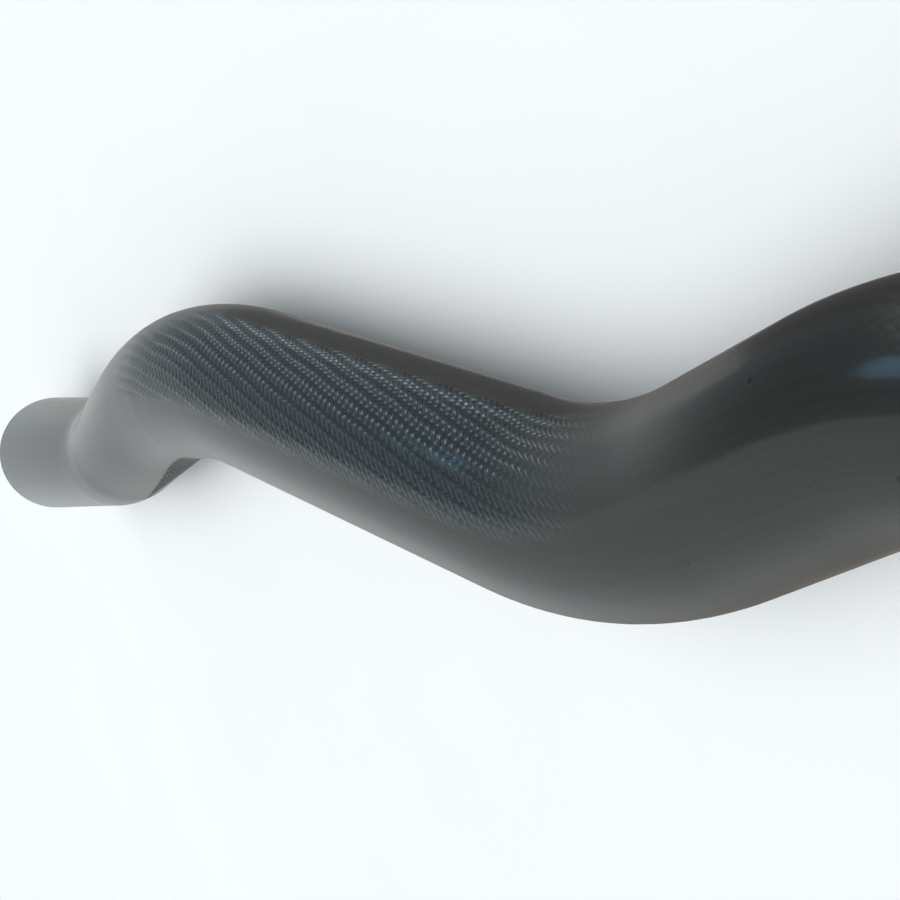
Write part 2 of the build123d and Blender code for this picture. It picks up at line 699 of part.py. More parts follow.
with BuildPart() as trigger_lever:
    with BuildSketch() as lever_outline:
        hub_point = (pin_x + hub_r * lever_join, pin_y - hub_r * lever_join)
        tail_outer = (pin_x - lever_length, pin_y - lever_outer_drop[1])
        tail_inner = (pin_x - lever_length - lever_tail, pin_y - lever_inner_drop[2])
        root_inner = (pin_x, pin_y - lever_inner_drop[0])
        with BuildLine():
            Spline(hub_point, (pin_x - lever_length * lever_bow[0], pin_y - lever_outer_drop[0]), tail_outer)
            Line(tail_outer, tail_inner)
            Spline(tail_inner, (pin_x - lever_length * lever_bow[1], pin_y - lever_inner_drop[1]), root_inner)
            Line(root_inner, hub_point)
        make_face()
        with Locations((pin_x, pin_y), (pin_x, pin_y + cam_throw)):
            Circle(hub_r)
    extrude(amount=lever_half, both=True)
    with Locations((pin_x, pin_y)):
        Hole(pin_r + pin_gap, depth=4 * lever_half)
keep(trigger_lever, "trigger_lever")
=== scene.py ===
# %% [markdown]
# # A technical ice axe with a bare carbon shaft
# The axe lies on its side. Its shaft is a moulded carbon tube, bent twice for the hand, and the head, the
# pick, the hammer, the trigger and the spike are bolted, riveted or slid on to it. The exact shapes come
# ready made from the frame. This lesson gives them their finishes, and remakes the one piece that needs a
# cloth pattern laid along it, which is the shaft.

# %% Load the frame
import json
import math

import bmesh
import bpy
from mathutils import Matrix, Vector


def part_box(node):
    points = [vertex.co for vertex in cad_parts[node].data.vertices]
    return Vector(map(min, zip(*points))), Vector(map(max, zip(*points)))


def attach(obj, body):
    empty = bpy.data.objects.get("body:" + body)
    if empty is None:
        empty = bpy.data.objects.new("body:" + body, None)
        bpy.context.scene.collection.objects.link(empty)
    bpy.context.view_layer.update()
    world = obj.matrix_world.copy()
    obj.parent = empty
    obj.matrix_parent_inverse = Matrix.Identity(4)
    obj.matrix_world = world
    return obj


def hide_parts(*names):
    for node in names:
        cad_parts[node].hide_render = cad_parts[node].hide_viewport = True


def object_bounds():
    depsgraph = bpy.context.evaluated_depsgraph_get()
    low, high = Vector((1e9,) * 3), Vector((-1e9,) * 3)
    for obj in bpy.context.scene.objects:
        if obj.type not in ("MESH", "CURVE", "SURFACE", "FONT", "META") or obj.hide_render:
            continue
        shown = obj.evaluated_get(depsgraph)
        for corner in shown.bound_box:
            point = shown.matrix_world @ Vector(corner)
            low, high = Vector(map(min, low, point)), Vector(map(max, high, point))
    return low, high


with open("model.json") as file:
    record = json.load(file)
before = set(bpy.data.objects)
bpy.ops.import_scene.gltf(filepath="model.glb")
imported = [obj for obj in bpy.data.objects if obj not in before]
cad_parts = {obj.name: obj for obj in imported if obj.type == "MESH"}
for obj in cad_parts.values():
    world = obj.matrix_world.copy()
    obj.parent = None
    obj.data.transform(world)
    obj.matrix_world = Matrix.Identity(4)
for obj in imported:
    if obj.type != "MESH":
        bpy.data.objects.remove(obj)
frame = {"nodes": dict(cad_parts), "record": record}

MM = 0.001
cad_box = [list(corner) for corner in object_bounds()]
nodes = frame["nodes"]
print("pieces in the frame:", len(nodes))

# %% [markdown]
# ## The camera
# The axe is looked at from close beside its upper shaft, past the bends, towards the butt. A lens of 50 mm
# on a 36 mm sensor is Blender's usual one. The camera could be turned by hand until it looks right, but two
# points and a roll say the same thing in numbers that can be read: where it stands, where it aims, and how
# far it leans over.

# %% Place the camera
camera_stand = Vector((-80.8, 25.6, 104.6)) * MM
camera_aim = Vector((-244.3, -4.05, 0.0)) * MM
camera_roll = math.radians(-14.1)

camera_data = bpy.data.cameras.new("camera")
camera_data.lens = 50.0
camera_data.sensor_width = 36.0
camera_data.clip_start = 1 * MM
camera = bpy.data.objects.new("camera", camera_data)
bpy.context.scene.collection.objects.link(camera)
bpy.context.scene.camera = camera


def aim(obj, stand, target, roll=0.0):
    """Stands obj at a point and turns its -Z axis to the target, with +Y of the axe upwards."""
    forward = (target - stand).normalized()
    side = forward.cross(Vector((0, 1, 0))).normalized()
    up = side.cross(forward)
    leaned_side = side * math.cos(roll) + up * math.sin(roll)
    leaned_up = leaned_side.cross(forward)
    obj.location = stand
    obj.rotation_mode = "QUATERNION"
    obj.rotation_quaternion = Matrix((leaned_side, leaned_up, -forward)).transposed().to_quaternion()


aim(camera, camera_stand, camera_aim, camera_roll)
print("camera up:", [round(x, 3) for x in (camera.rotation_quaternion @ Vector((0, 1, 0)))])

# %% [markdown]
# ## Wiring materials in few words
# A finish is a small circuit of shader nodes. They could be placed by hand in the shader editor. In a script,
# one helper class with a method for each common step keeps a finish down to a few lines that can be compared
# with the real surface. Positions are in millimetres, as a maker would give them, because the eye knows how
# big a brush mark or a moulding grain is.

# %% A helper that writes finishes
class Finish:
    """A material while it is being written. Each method adds a shader node and gives its output."""

    def __init__(self, name):
        self.material = bpy.data.materials.new(name)
        self.material.use_nodes = True
        self.tree = self.material.node_tree
        self.surface = self.tree.nodes["Principled BSDF"]
        self.place = self.scaled(self.add("TexCoord").outputs["Object"], (1 / MM, 1 / MM, 1 / MM))

    def add(self, kind, settings=(), *values, **named):
        node = self.tree.nodes.new("ShaderNode" + kind)
        for name, value in dict(settings).items():
            setattr(node, name, value)
        for place, value in list(enumerate(values)) + [(k.replace("_", " "), v) for k, v in named.items()]:
            self.feed(node.inputs[place], value)
        return node

    def feed(self, socket, value):
        if isinstance(value, bpy.types.NodeSocket):
            self.tree.links.new(value, socket)
        elif value is not None:
            socket.default_value = value

    def set(self, **named):
        """Feeds sockets of the surface shader: a plain value stays on the socket itself."""
        for name, value in named.items():
            self.feed(self.surface.inputs[name.replace("_", " ")], value)

    def math(self, operation, *values):
        return self.add("Math", {"operation": operation}, *values).outputs[0]

    def vector(self, operation, *values):
        return self.add("VectorMath", {"operation": operation}, *values)

    def scaled(self, place, scale):
        return self.vector("MULTIPLY", place, scale).outputs[0]

    def joined(self, x, y, z):
        return self.add("CombineXYZ", (), x, y, z).outputs[0]

    def parts(self, place):
        return self.add("SeparateXYZ", (), place).outputs[:3]

    def noise(self, place, scale, detail=2.0, rough=0.5):
        return self.add("TexNoise", (), Vector=place, Scale=scale, Detail=detail, Roughness=rough).outputs[0]

    def ramp(self, value, start, stop, low=0.0, high=1.0):
        """Runs smoothly from low to high while value goes from start to stop."""
        node = self.add("MapRange", {"interpolation_type": "SMOOTHSTEP"}, value, start, stop, low, high)
        return node.outputs[0]

    def blend(self, share, first, second):
        node = self.add("Mix", {"data_type": "RGBA"})
        self.feed(node.inputs["Factor"], share)
        self.feed(node.inputs[6], first)
        self.feed(node.inputs[7], second)
        return node.outputs[2]

    def relief(self, height, depth, normal=None):
        """Bump: a height of 0 to 1 stands for this depth, in mm."""
        node = self.add("Bump", (), Distance=depth * MM, Height=height, Normal=normal)
        return node.outputs[0]

    def eased_edge(self, radius):
        """The normal as if every sharp edge had been broken with this radius, in mm."""
        return self.add("Bevel", {"samples": 4}, Radius=radius * MM).outputs[0]

    def worn_edge(self, radius):
        """1 along the edges and 0 on the faces, broken up as handling wears it."""
        eased = self.eased_edge(radius)
        face = self.add("NewGeometry").outputs["Normal"]
        bend = self.math("SUBTRACT", 1.0, self.vector("DOT_PRODUCT", eased, face).outputs["Value"])
        patchy = self.ramp(self.noise(self.place, 0.9, 4.0, 0.6), 0.35, 0.62)
        return self.math("MULTIPLY", self.ramp(bend, 0.01, 0.12), patchy)


print("helper ready, one unit of place is 1 mm")

# %% [markdown]
# ## The floor and the room
# The axe lies on a pale floor, in a room with a wide bright window on its lower side and a dimmer wall on the
# pick's side. A clear coat shows the room as a mirror does, so the edge between window and wall is what draws
# the long bright and dark bands along the tube. Towards the butt the window reaches further round, and a small
# blue skylight is set high in the wall. The room could be built from light boxes, but a world that depends
# only on direction gives the same bands from a few formulas. The floor isn't seen in reflections, so that the
# bands stay clean, and the camera itself sees plain pale light. The marks of window, wall and skylight were
# found by trial from this one camera, so they are a good fit there and say little about any other side.

# %% The floor
floor_z = cad_box[0][2]
floor_colour = (0.80, 0.81, 0.82, 1)
bpy.ops.mesh.primitive_plane_add(size=40.0, location=(0.0, 0.0, floor_z))
floor = bpy.context.object
floor.name = "studio_floor"
floor.visible_glossy = False
floor_paint = Finish("floor_paint")
mottle = floor_paint.noise(floor_paint.place, 0.02, 3.0)
floor_paint.set(
    Base_Color=floor_paint.blend(floor_paint.ramp(mottle, 0.3, 0.7), floor_colour, (0.81, 0.82, 0.83, 1)),
    Roughness=0.7,
)
floor.data.materials.append(floor_paint.material)
print("floor at", round(floor_z / MM, 2), "mm")

# %% The room
room = bpy.data.worlds.new("room")
bpy.context.scene.world = room
room.use_nodes = True


class Room(Finish):
    """The world is wired with the same helper; only its surface is another shader."""

    def __init__(self, world):
        self.tree = world.node_tree
        self.surface = self.tree.nodes["Background"]
        self.place = self.add("TexCoord").outputs["Generated"]


print("the world has its own wiring")

# %% Window, wall and skylight
walls = Room(room)
to_head, to_pick, upwards = walls.parts(walls.place)
low_corner = walls.math("MULTIPLY", walls.ramp(to_head, -0.72, -0.90), walls.ramp(upwards, 0.30, -0.20))
far_end = walls.ramp(to_head, -0.88, -0.95)
edge_beside, edge_at_butt = 0.05, 0.47  # how far round, on the pick's side, the window reaches
window_edge = walls.math(
    "MULTIPLY_ADD", walls.math("MAXIMUM", low_corner, far_end), edge_at_butt - edge_beside, edge_beside
)
past_edge = walls.math("SUBTRACT", to_pick, window_edge)
wall_share = walls.ramp(past_edge, -0.03, 0.06)
window_tint = walls.blend(walls.ramp(upwards, -0.65, 0.1), (0.23, 0.22, 0.20, 1), (0.64, 0.69, 0.70, 1))
wall_tint = walls.blend(walls.ramp(upwards, -0.5, -0.1), (0.11, 0.11, 0.11, 1), (0.19, 0.22, 0.23, 1))
skylight_towards = (-0.53, 0.60, 0.60)
skylight = walls.vector("DOT_PRODUCT", walls.place, skylight_towards).outputs["Value"]
wall_colour = walls.blend(walls.ramp(skylight, 0.982, 0.998), wall_tint, (0.55, 1.15, 1.60, 1))
seen = walls.blend(wall_share, window_tint, wall_colour)
straight_view = walls.add("LightPath").outputs["Is Camera Ray"]
walls.set(Color=walls.blend(straight_view, seen, (0.9, 0.91, 0.92, 1)), Strength=1.0)
bpy.context.scene.view_settings.view_transform = "Standard"
print("skylight towards:", skylight_towards)

# %% [markdown]
# ## Two lamps
# A wide ceiling light, a sun whose disc fills 80 degrees, gives the soft shadow. It isn't seen in reflections.
# A strip lamp far off on the pick's side picks out single tows of the cloth, and from some sides it shows as a
# white streak on the grip.


# %% The lamps
def lamp(name, kind, stand, target, power, in_gloss, size):
    """A soft lamp. A sun's size is the angle it fills, in radians, and a square's is its side, in metres."""
    lamp_data = bpy.data.lights.new(name, kind)
    if kind == "SUN":
        lamp_data.angle = size
    else:
        lamp_data.size = size
    lamp_data.energy = power
    obj = bpy.data.objects.new(name, lamp_data)
    obj.visible_camera = False
    obj.visible_glossy = in_gloss
    bpy.context.scene.collection.objects.link(obj)
    aim(obj, Vector(stand), Vector(target))


lamp("ceiling", "SUN", (-0.25, 0.05, 2.0), (-0.2, 0.0, 0.0), 2.3, False, math.radians(80))
lamp("strip_by_the_wall", "AREA", (-1.32, 2.24, 0.33), (-0.22, 0.0, 0.0), 12.0, True, 0.4)
print("ceiling light and strip lamp ready")

# %% [markdown]
# ## The shaft
# Such a shaft is usually laid up over a bladder and cured in a mould. This one has straight runs joined by
# bends, and is thicker under the hand than at the waist. The frame has it already, but its faces are cut for
# accuracy and carry no cloth coordinates. A finish could be projected from the side, which smears where the
# tube turns away. Here the tube is made again ring by ring along its own route, so that each vertex knows how
# far down the shaft it lies and how far round, which is what the cloth needs.

# %% The tube's route
shaft_low, shaft_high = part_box("shaft")
runs = [130.0, 20.0, 80.0, 28.0, 52.0]
bends = [(19.0, 50.0), (-33.0, 70.0), (31.0, 110.0), (-17.0, 40.0)]  # degrees and bend radius


def route_stretches():
    """Straight runs and bends from the head down: (length, turn per mm, heading at the start)."""
    heading = math.pi
    stretches = []
    for index, run in enumerate(runs):
        stretches.append((run, 0.0, heading))
        if index < len(bends):
            turn, bend = math.radians(bends[index][0]), bends[index][1]
            stretches.append((abs(turn) * bend, math.copysign(1 / bend, turn), heading))
            heading += turn
    return stretches


stretches = route_stretches()
tube_length = sum(stretch[0] for stretch in stretches)
middles = [sum(s[0] for s in stretches[:n]) + stretches[n][0] / 2 for n in range(len(stretches))]
radius_marks = [
    (0.0, 13.5), (middles[1], 13.5), (middles[3], 14.8),
    (middles[5], 16.2), (middles[7], 14.0), (tube_length, 16.3),
]  # mm down the tube, outer radius


def route_point(distance):
    """Place on the tube's axis, in mm, and the heading there."""
    x, y, left = shaft_high.x / MM, 0.0, distance
    for length, curl, heading in stretches:
        step = min(left, length)
        if curl:
            x += (math.sin(heading + curl * step) - math.sin(heading)) / curl
            y -= (math.cos(heading + curl * step) - math.cos(heading)) / curl
        else:
            x += step * math.cos(heading)
            y += step * math.sin(heading)
        left -= step
        if left <= 0:
            return x, y, heading + curl * step
    return x, y, heading


taper_ease = 8.0


def marked_radius(distance):
    """Outer radius between the marks, in straight tapers."""
    for (d0, r0), (d1, r1) in zip(radius_marks, radius_marks[1:]):
        if distance <= d1:
            return r0 + (r1 - r0) * (distance - d0) / (d1 - d0)
    return radius_marks[-1][1]


def tube_radius(distance):
    """The same, with each taper eased into the next."""
    ease = min(taper_ease, distance, tube_length - distance)
    return (marked_radius(distance - ease) + 2 * marked_radius(distance) + marked_radius(distance + ease)) / 4


print("tube length along its route:", round(tube_length, 1), "mm")

# %% The shaft's mesh
around = 96
outer_rings, inner_rings = 440, 110
wall = 1.8


def ring_of(mesh, distance, radius):
    """One ring of vertices across the tube."""
    x, y, heading = route_point(distance)
    across = Vector((-math.sin(heading), math.cos(heading), 0))
    ring = []
    for k in range(around):
        angle = 2 * math.pi * k / around
        out = math.cos(angle) * across + math.sin(angle) * Vector((0, 0, 1))
        ring.append(mesh.verts.new((Vector((x, y, 0)) + radius * out) * MM))
    return ring


def make_shaft():
    """A closed tube: rings down the outside, then back up the inside. Its cloth layer holds turn and mm."""
    mesh = bmesh.new()
    cloth = mesh.loops.layers.uv.new("cloth")
    down = [tube_length * k / outer_rings for k in range(outer_rings + 1)]
    back = [tube_length * k / inner_rings for k in range(inner_rings, -1, -1)]
    rings = [(ring_of(mesh, d, tube_radius(d)), d) for d in down]
    rings += [(ring_of(mesh, d, tube_radius(d) - wall), d) for d in back]
    rings.append(rings[0])
    for (ring_a, d_a), (ring_b, d_b) in zip(rings, rings[1:]):
        for k in range(around):
            m = (k + 1) % around
            face = mesh.faces.new((ring_a[k], ring_b[k], ring_b[m], ring_a[m]))
            face.smooth = True
            corners = ((k, d_a), (k, d_b), (k + 1, d_b), (k + 1, d_a))
            for loop, (turn, d) in zip(face.loops, corners):
                loop[cloth].uv = (turn / around, d)
    bmesh.ops.recalc_face_normals(mesh, faces=mesh.faces)
    data = bpy.data.meshes.new("carbon_shaft")
    mesh.to_mesh(data)
    mesh.free()
    shaft = bpy.data.objects.new("carbon_shaft", data)
    bpy.context.scene.collection.objects.link(shaft)
    return shaft


shaft = make_shaft()
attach(shaft, "axe")
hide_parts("shaft")
print("shaft faces:", len(shaft.data.polygons), "box in mm:", [round(v / MM, 1) for v in shaft_low])

# %% [markdown]
# ## The carbon finish
# The outer ply is a fine two-by-two twill, laid at a slant: each tow passes over two others and under the
# next two, and each neighbour starts one tow later, which makes the ribs that run down the grip. One set of
# tows slants one way and the other set the other way, so a light catches only one of them at a time and each
# rib is a row of short strokes. A picture of cloth could be wrapped round the tube, but it would stretch. Two
# counts made from the cloth coordinates do it exactly: which tow of each set a point lies on, and how far
# across it. On top lies a clear coat with a little waviness, which carries the room's reflections.

# %% Which tow is on top
ribs_round, rib_drift = 40.0, 0.085  # ribs round the tube, and ribs passed for each mm down it
strokes_round, strokes_down = 5.0, 0.567  # the same for the strokes within a rib
sway_in_ribs = 0.5  # how far the cloth wanders from a true lay, in ribs
lean_a, lean_b = 0.379, 0.068  # how far each set's shine is turned from round the tube, in turns
carbon = Finish("carbon_clear_coated")
turn, down, _ = carbon.parts(carbon.add("UVMap", {"uv_map": "cloth"}).outputs[0])
sway = carbon.math("SUBTRACT", carbon.noise(carbon.place, 0.06, 2.0), 0.5)
drift = carbon.math("MULTIPLY", down, rib_drift)
ribs = carbon.math("SUBTRACT", drift, carbon.math("MULTIPLY", turn, ribs_round))
ribs = carbon.math("MULTIPLY_ADD", sway, sway_in_ribs, ribs)
strokes = carbon.math("MULTIPLY_ADD", turn, strokes_round, carbon.math("MULTIPLY", down, strokes_down))
tow_a = carbon.math("MULTIPLY_ADD", ribs, 2.0, strokes)
tow_b = carbon.math("MULTIPLY_ADD", ribs, -2.0, strokes)
number_a, number_b = carbon.math("FLOOR", tow_a), carbon.math("FLOOR", tow_b)
repeat = 4.0  # tows before the weave repeats: over two, under two
along_a = carbon.math(
    "FLOORED_MODULO", carbon.math("ADD", carbon.math("SUBTRACT", number_a, tow_b), 1.0), repeat
)
along_b = carbon.math(
    "FLOORED_MODULO", carbon.math("SUBTRACT", carbon.math("SUBTRACT", tow_a, number_b), 2.0), repeat
)
a_on_top = carbon.math("LESS_THAN", along_a, repeat / 2)
print("ribs of the twill:", ribs_round, "strokes each:", round(strokes_down * tube_length))


# %% The tows' rounded shapes
def arch(value, middle, half):
    """1 at the middle, falling to 0 at half a width away."""
    off = carbon.math("DIVIDE", carbon.math("SUBTRACT", value, middle), half)
    return carbon.math("SUBTRACT", 1.0, carbon.math("MULTIPLY", off, off))


def topmost(value_a, value_b):
    """The first value where the first set lies on top, and the second elsewhere."""
    return carbon.math("MULTIPLY_ADD", carbon.math("SUBTRACT", value_a, value_b), a_on_top, value_b)


across = topmost(carbon.math("FRACT", tow_a), carbon.math("FRACT", tow_b))
along = topmost(along_a, along_b)
section = carbon.math("POWER", arch(across, 0.5, 0.56), 0.7)
crown = carbon.math("MULTIPLY_ADD", arch(along, 1.0, 1.0), 0.55, 0.45)
tow_height = carbon.math("MULTIPLY", section, crown)
fibres_across, fibres_along = 14.0, 1.1
fibre_place = carbon.joined(
    carbon.math("MULTIPLY", across, fibres_across),
    carbon.math("MULTIPLY", along, fibres_along),
    topmost(tow_a, tow_b),
)
fibres = carbon.noise(fibre_place, 1.0, 2.0, 0.6)
print("tows shaped")

# %% [markdown]
# ### Where the cloth shows, the lacquer dulls and sheen is painted
# The tube doesn't look the same all over. The cloth stands clear on the flank of the grip and on the lower
# bend, the lacquer is duller at both bends, and in the hollow above the grip and on the crest the base is
# painted a lighter grey, a painted sheen. Where the cloth shows, its tows carry painted glints. No one rule
# for the whole tube gives that, so these places and amounts were fitted by trial from this one camera. Near
# the head and underneath, which it hardly sees, they are guesses. Nor is their cause known: handling, thin or
# pooled lacquer and the lay-up are all likely, and some may be reflections. The places could be painted on a
# texture. Here each is a stretch of the tube: so many mm down from the head, and so many turns round it. A
# quarter turn is the top as the axe lies, and half a turn is the crest, which faces the pick's side.


# %% Places along and round the tube
def stretch(value, rise, fall, full=1.0):
    """0, rising to full over the first pair of marks, and back to 0 over the second."""
    return carbon.math("MULTIPLY", carbon.ramp(value, *rise), carbon.ramp(value, *fall, 0.0, full))


def largest(*shares):
    """The largest of several shares."""
    most = shares[0]
    for share in shares[1:]:
        most = carbon.math("MAXIMUM", most, share)
    return most


in_grip = stretch(down, (172.0, 205.0), (330.0, 300.0))
in_heel = stretch(down, (316.0, 324.0), (392.0, 382.0))
upper_bend = stretch(down, (144.0, 165.0), (208.0, 178.0))
lower_bend = stretch(down, (255.0, 300.0), (360.0, 330.0))
from_crest = carbon.math("ABSOLUTE", carbon.math("SUBTRACT", turn, 0.5))
print("places laid out")

# %% How much cloth, dullness and painted sheen each place has
# Where the cloth shows, the tows' painted glints go into the colour. On the grip's flank and the heel these
# places mark where the light showed the weave, not a change in the cloth; near the head and underneath they are
# guesses.
flank_cloth = carbon.math("MULTIPLY", in_grip, stretch(from_crest, (0.025, 0.045), (0.25, 0.225)))
under_cloth = stretch(turn, (0.57, 0.61), (0.98, 0.94), 0.6)
head_cloth = carbon.ramp(down, 118.0, 92.0, 0.0, 0.6)
heel_slant = 0.00135  # turns that the heel's edge runs round for each mm down
heel_edge = carbon.math("MULTIPLY_ADD", down, heel_slant, carbon.math("SUBTRACT", 0.057, from_crest))
heel_cloth = carbon.math("MULTIPLY", in_heel, carbon.ramp(heel_edge, 0.072, 0.062, 0.0, 0.9))
shown_cloth = largest(flank_cloth, under_cloth, heel_cloth, head_cloth)
least_cloth = 0.04
cloth_depth = carbon.math("MULTIPLY_ADD", shown_cloth, 1.0 - least_cloth, least_cloth)
rubbed = largest(upper_bend, lower_bend)
# In the hollow above the grip and on the crest the base is painted a lighter grey and made less metallic: a
# painted sheen.
in_hollow = carbon.math("MULTIPLY", upper_bend, carbon.ramp(turn, 0.24, 0.36, 0.0, 0.5))
on_crest = carbon.math("MULTIPLY", in_grip, carbon.ramp(from_crest, 0.045, 0.028, 0.0, 0.22))
painted_sheen = largest(in_hollow, on_crest)
# Beside the crest the tows are painted lighter: a painted highlight line along the grip.
painted_ridge_highlight = carbon.math("MULTIPLY", in_grip, carbon.ramp(from_crest, 0.068, 0.056, 0.0, 0.8))
print("cloth, dullness and haze set")

# %% [markdown]
# ### Fibre, lacquer and specks
# Under the lacquer the fibres shine like dark metal, so the base is mostly metallic and very dark. One set of
# tows is painted a little lighter than the other, a painted glint for the set that the light catches, and the
# tows beside the crest are lighter again, a painted highlight line; both were fitted. Where the cloth doesn't
# show, long faint streaks run down the tube. A few specks of dust lie in the lacquer, which follows the tows
# only slightly.

# %% Colours of the fibres
# The set of tows on top where a_on_top is 1 is painted lighter than the other set: a painted glint for the set
# that the light catches.
tow_tint = carbon.blend(a_on_top, (0.049, 0.070, 0.080, 1), (0.085, 0.115, 0.130, 1))
# Lighter still beside the crest: a painted highlight.
tow_tint = carbon.blend(painted_ridge_highlight, tow_tint, (0.20, 0.26, 0.29, 1))
fibre_tint = carbon.blend(carbon.ramp(fibres, 0.3, 0.7), (0.010, 0.014, 0.017, 1), tow_tint)
streaks_round, streaks_down = 90.0, 0.02
streak_place = carbon.joined(
    carbon.math("MULTIPLY", turn, streaks_round), carbon.math("MULTIPLY", down, streaks_down), 0.0
)
streaks = carbon.noise(streak_place, 1.0, 2.0)
flat_tint = carbon.blend(streaks, (0.023, 0.022, 0.019, 1), (0.040, 0.038, 0.034, 1))
# Where the cloth shows, the tows carry their painted glints; elsewhere the flat streaked tint.
cloth_tint = carbon.blend(cloth_depth, flat_tint, fibre_tint)
# A lighter grey over the cloth in the hollow and on the crest: a painted sheen.
painted_sheen_tint = carbon.blend(painted_sheen, cloth_tint, (0.105, 0.108, 0.104, 1))
dust = carbon.add("TexVoronoi", {"feature": "F1"}, Vector=carbon.place, Scale=0.16, Randomness=1.0)
near_speck = carbon.ramp(dust.outputs["Distance"], 0.075, 0.045)
few_of_them = carbon.ramp(carbon.parts(dust.outputs["Color"])[0], 0.60, 0.62)
speck = carbon.math("MULTIPLY", near_speck, few_of_them)
print("fibre colours ready")

# %% The surface under its lacquer
lean = carbon.math("MULTIPLY_ADD", a_on_top, lean_a - lean_b, lean_b)
fibre_lean = carbon.math("MULTIPLY", cloth_depth, lean)
cloth_relief, lacquer_relief, lacquer_wave = 0.28, 0.013, 0.05  # mm
wavy = carbon.relief(carbon.noise(carbon.place, 0.12, 2.0), lacquer_wave)
carbon.set(
    Base_Color=carbon.blend(speck, painted_sheen_tint, (0.004, 0.004, 0.004, 1)),
    Metallic=carbon.math("MULTIPLY_ADD", painted_sheen, -0.45, 0.75),
    Roughness=carbon.ramp(fibres, 0.2, 0.8, 0.30, 0.42),
    Coat_Weight=carbon.math("SUBTRACT", 1.0, heel_cloth),
    Coat_Roughness=carbon.math("MULTIPLY_ADD", rubbed, 0.25, 0.035),
    Coat_IOR=1.5,
    Anisotropic=0.8,
    Anisotropic_Rotation=fibre_lean,
    Tangent=carbon.add("Tangent", {"direction_type": "UV_MAP", "uv_map": "cloth"}).outputs[0],
    Normal=carbon.relief(carbon.math("MULTIPLY", tow_height, cloth_depth), cloth_relief),
    Coat_Normal=carbon.relief(carbon.math("MULTIPLY", tow_height, shown_cloth), lacquer_relief, wavy),
)
shaft.data.materials.append(carbon.material)
print("carbon finish on the shaft")

# %% [markdown]
# ## Which piece has which finish
# Every piece in the frame keeps its exact shape, and takes the finish that its slot in the record names. A
# list typed by hand could do the same, but it would miss a piece as soon as one was added. A table from slot
# to recipe, filled in below one recipe at a time, can be checked at the end: no slot may be left over.

# %% Slots of the record
record = frame["record"]
slot_of = {}
for part in record["subparts"]:
    slot_of[part["node"]] = part["material_slot"]
finishes = {"carbon": carbon}
print("slots in use:", sorted(set(slot_of.values())))


def metal(name, edge_radius):
    """A metal whose edges are eased, with its colour and roughness left to the recipe."""
    finish = Finish(name)
    finish.set(Metallic=1.0)
    finish.edges = finish.eased_edge(edge_radius)
    finishes[name] = finish
    return finish


# %% [markdown]
# ## The forged head
# The head is forged from aluminium and hard anodised: a dense, dark, slightly rough skin. Under the brush of
# rock and carabiners it wears through first along the edges, to bright metal. The wear could be painted by
# hand on each edge. A bevel node finds the edges by itself: where the eased normal differs from the face's
# own, there is an edge, and a broken noise keeps the wear from looking like an outline.

# %% Hard anodised alloy
anodised = metal("forged_alloy", 0.5)
worn = anodised.worn_edge(0.7)
cloud = anodised.ramp(anodised.noise(anodised.place, 0.09, 4.0, 0.6), 0.3, 0.7)
skin = anodised.blend(cloud, (0.050, 0.054, 0.060, 1), (0.075, 0.080, 0.086, 1))
grain = anodised.noise(anodised.place, 3.2, 3.0, 0.6)
anodised.set(
    Base_Color=anodised.blend(worn, skin, (0.48, 0.48, 0.47, 1)),
    Roughness=anodised.math("MULTIPLY_ADD", worn, -0.14, anodised.ramp(grain, 0.2, 0.8, 0.40, 0.52)),
    Normal=anodised.relief(grain, 0.035, anodised.relief(cloud, 0.12, anodised.edges)),
)
print("hard anodised skin with worn edges")

# %% [markdown]
# ## The butt cap
# The cap at the foot of the shaft is turned alloy, anodised blue-grey and polished. Turning leaves fine rings
# round its axis. Rings need the distance from that axis, and the axis is the middle of the cap's own box.

# %% Turned cap
cap_low, cap_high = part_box("butt_cap")
cap_middle = tuple((low + high) / 2 / MM for low, high in zip(cap_low, cap_high))
turned = metal("cap_alloy", 0.5)
from_axis = turned.vector("SUBTRACT", turned.place, (0.0, cap_middle[1], cap_middle[2])).outputs[0]
cap_x, cap_y, cap_z = turned.parts(from_axis)
square = turned.math("ADD", turned.math("MULTIPLY", cap_y, cap_y), turned.math("MULTIPLY", cap_z, cap_z))
reach = turned.math("SQRT", square)
rings_per_mm = 5.0
ring_place = turned.joined(
    turned.math("MULTIPLY", cap_x, rings_per_mm), turned.math("MULTIPLY", reach, rings_per_mm), 0.0
)
rings = turned.noise(ring_place, 1.0, 2.0)
scuffs = turned.ramp(turned.noise(turned.place, 0.35, 5.0, 0.7), 0.52, 0.72)
cap_worn = turned.worn_edge(0.6)
cap_skin = turned.blend(scuffs, (0.20, 0.235, 0.25, 1), (0.27, 0.30, 0.31, 1))
turned.set(
    Base_Color=turned.blend(cap_worn, cap_skin, (0.55, 0.55, 0.54, 1)),
    Roughness=turned.math("MULTIPLY_ADD", scuffs, 0.16, turned.ramp(rings, 0.2, 0.8, 0.22, 0.34)),
    Normal=turned.relief(rings, 0.02, turned.edges),
)
print("cap's axis at y, z in mm:", [round(v, 2) for v in cap_middle[1:]])

# %% [markdown]
# ## Milled and ground metal
# Cutters and grinding belts leave straight marks, long one way and narrow the other. A noise that is squeezed
# in one direction gives such marks for any of them: only the direction, the pitch and the colour differ. The
# trigger's lever is milled alloy, and the pick is ground tool steel whose teeth and tip are bright from use.


# %% Marks of a cutter or a belt
def brushed(finish, squeeze, depth, shine, dull):
    """Lines across the squeezed axis. Gives the marks, for the colour to use too."""
    marks = finish.noise(finish.scaled(finish.place, squeeze), 1.0, 4.0, 0.65)
    finish.set(
        Roughness=finish.ramp(marks, 0.25, 0.75, shine, dull),
        Normal=finish.relief(marks, depth, finish.edges),
    )
    return marks


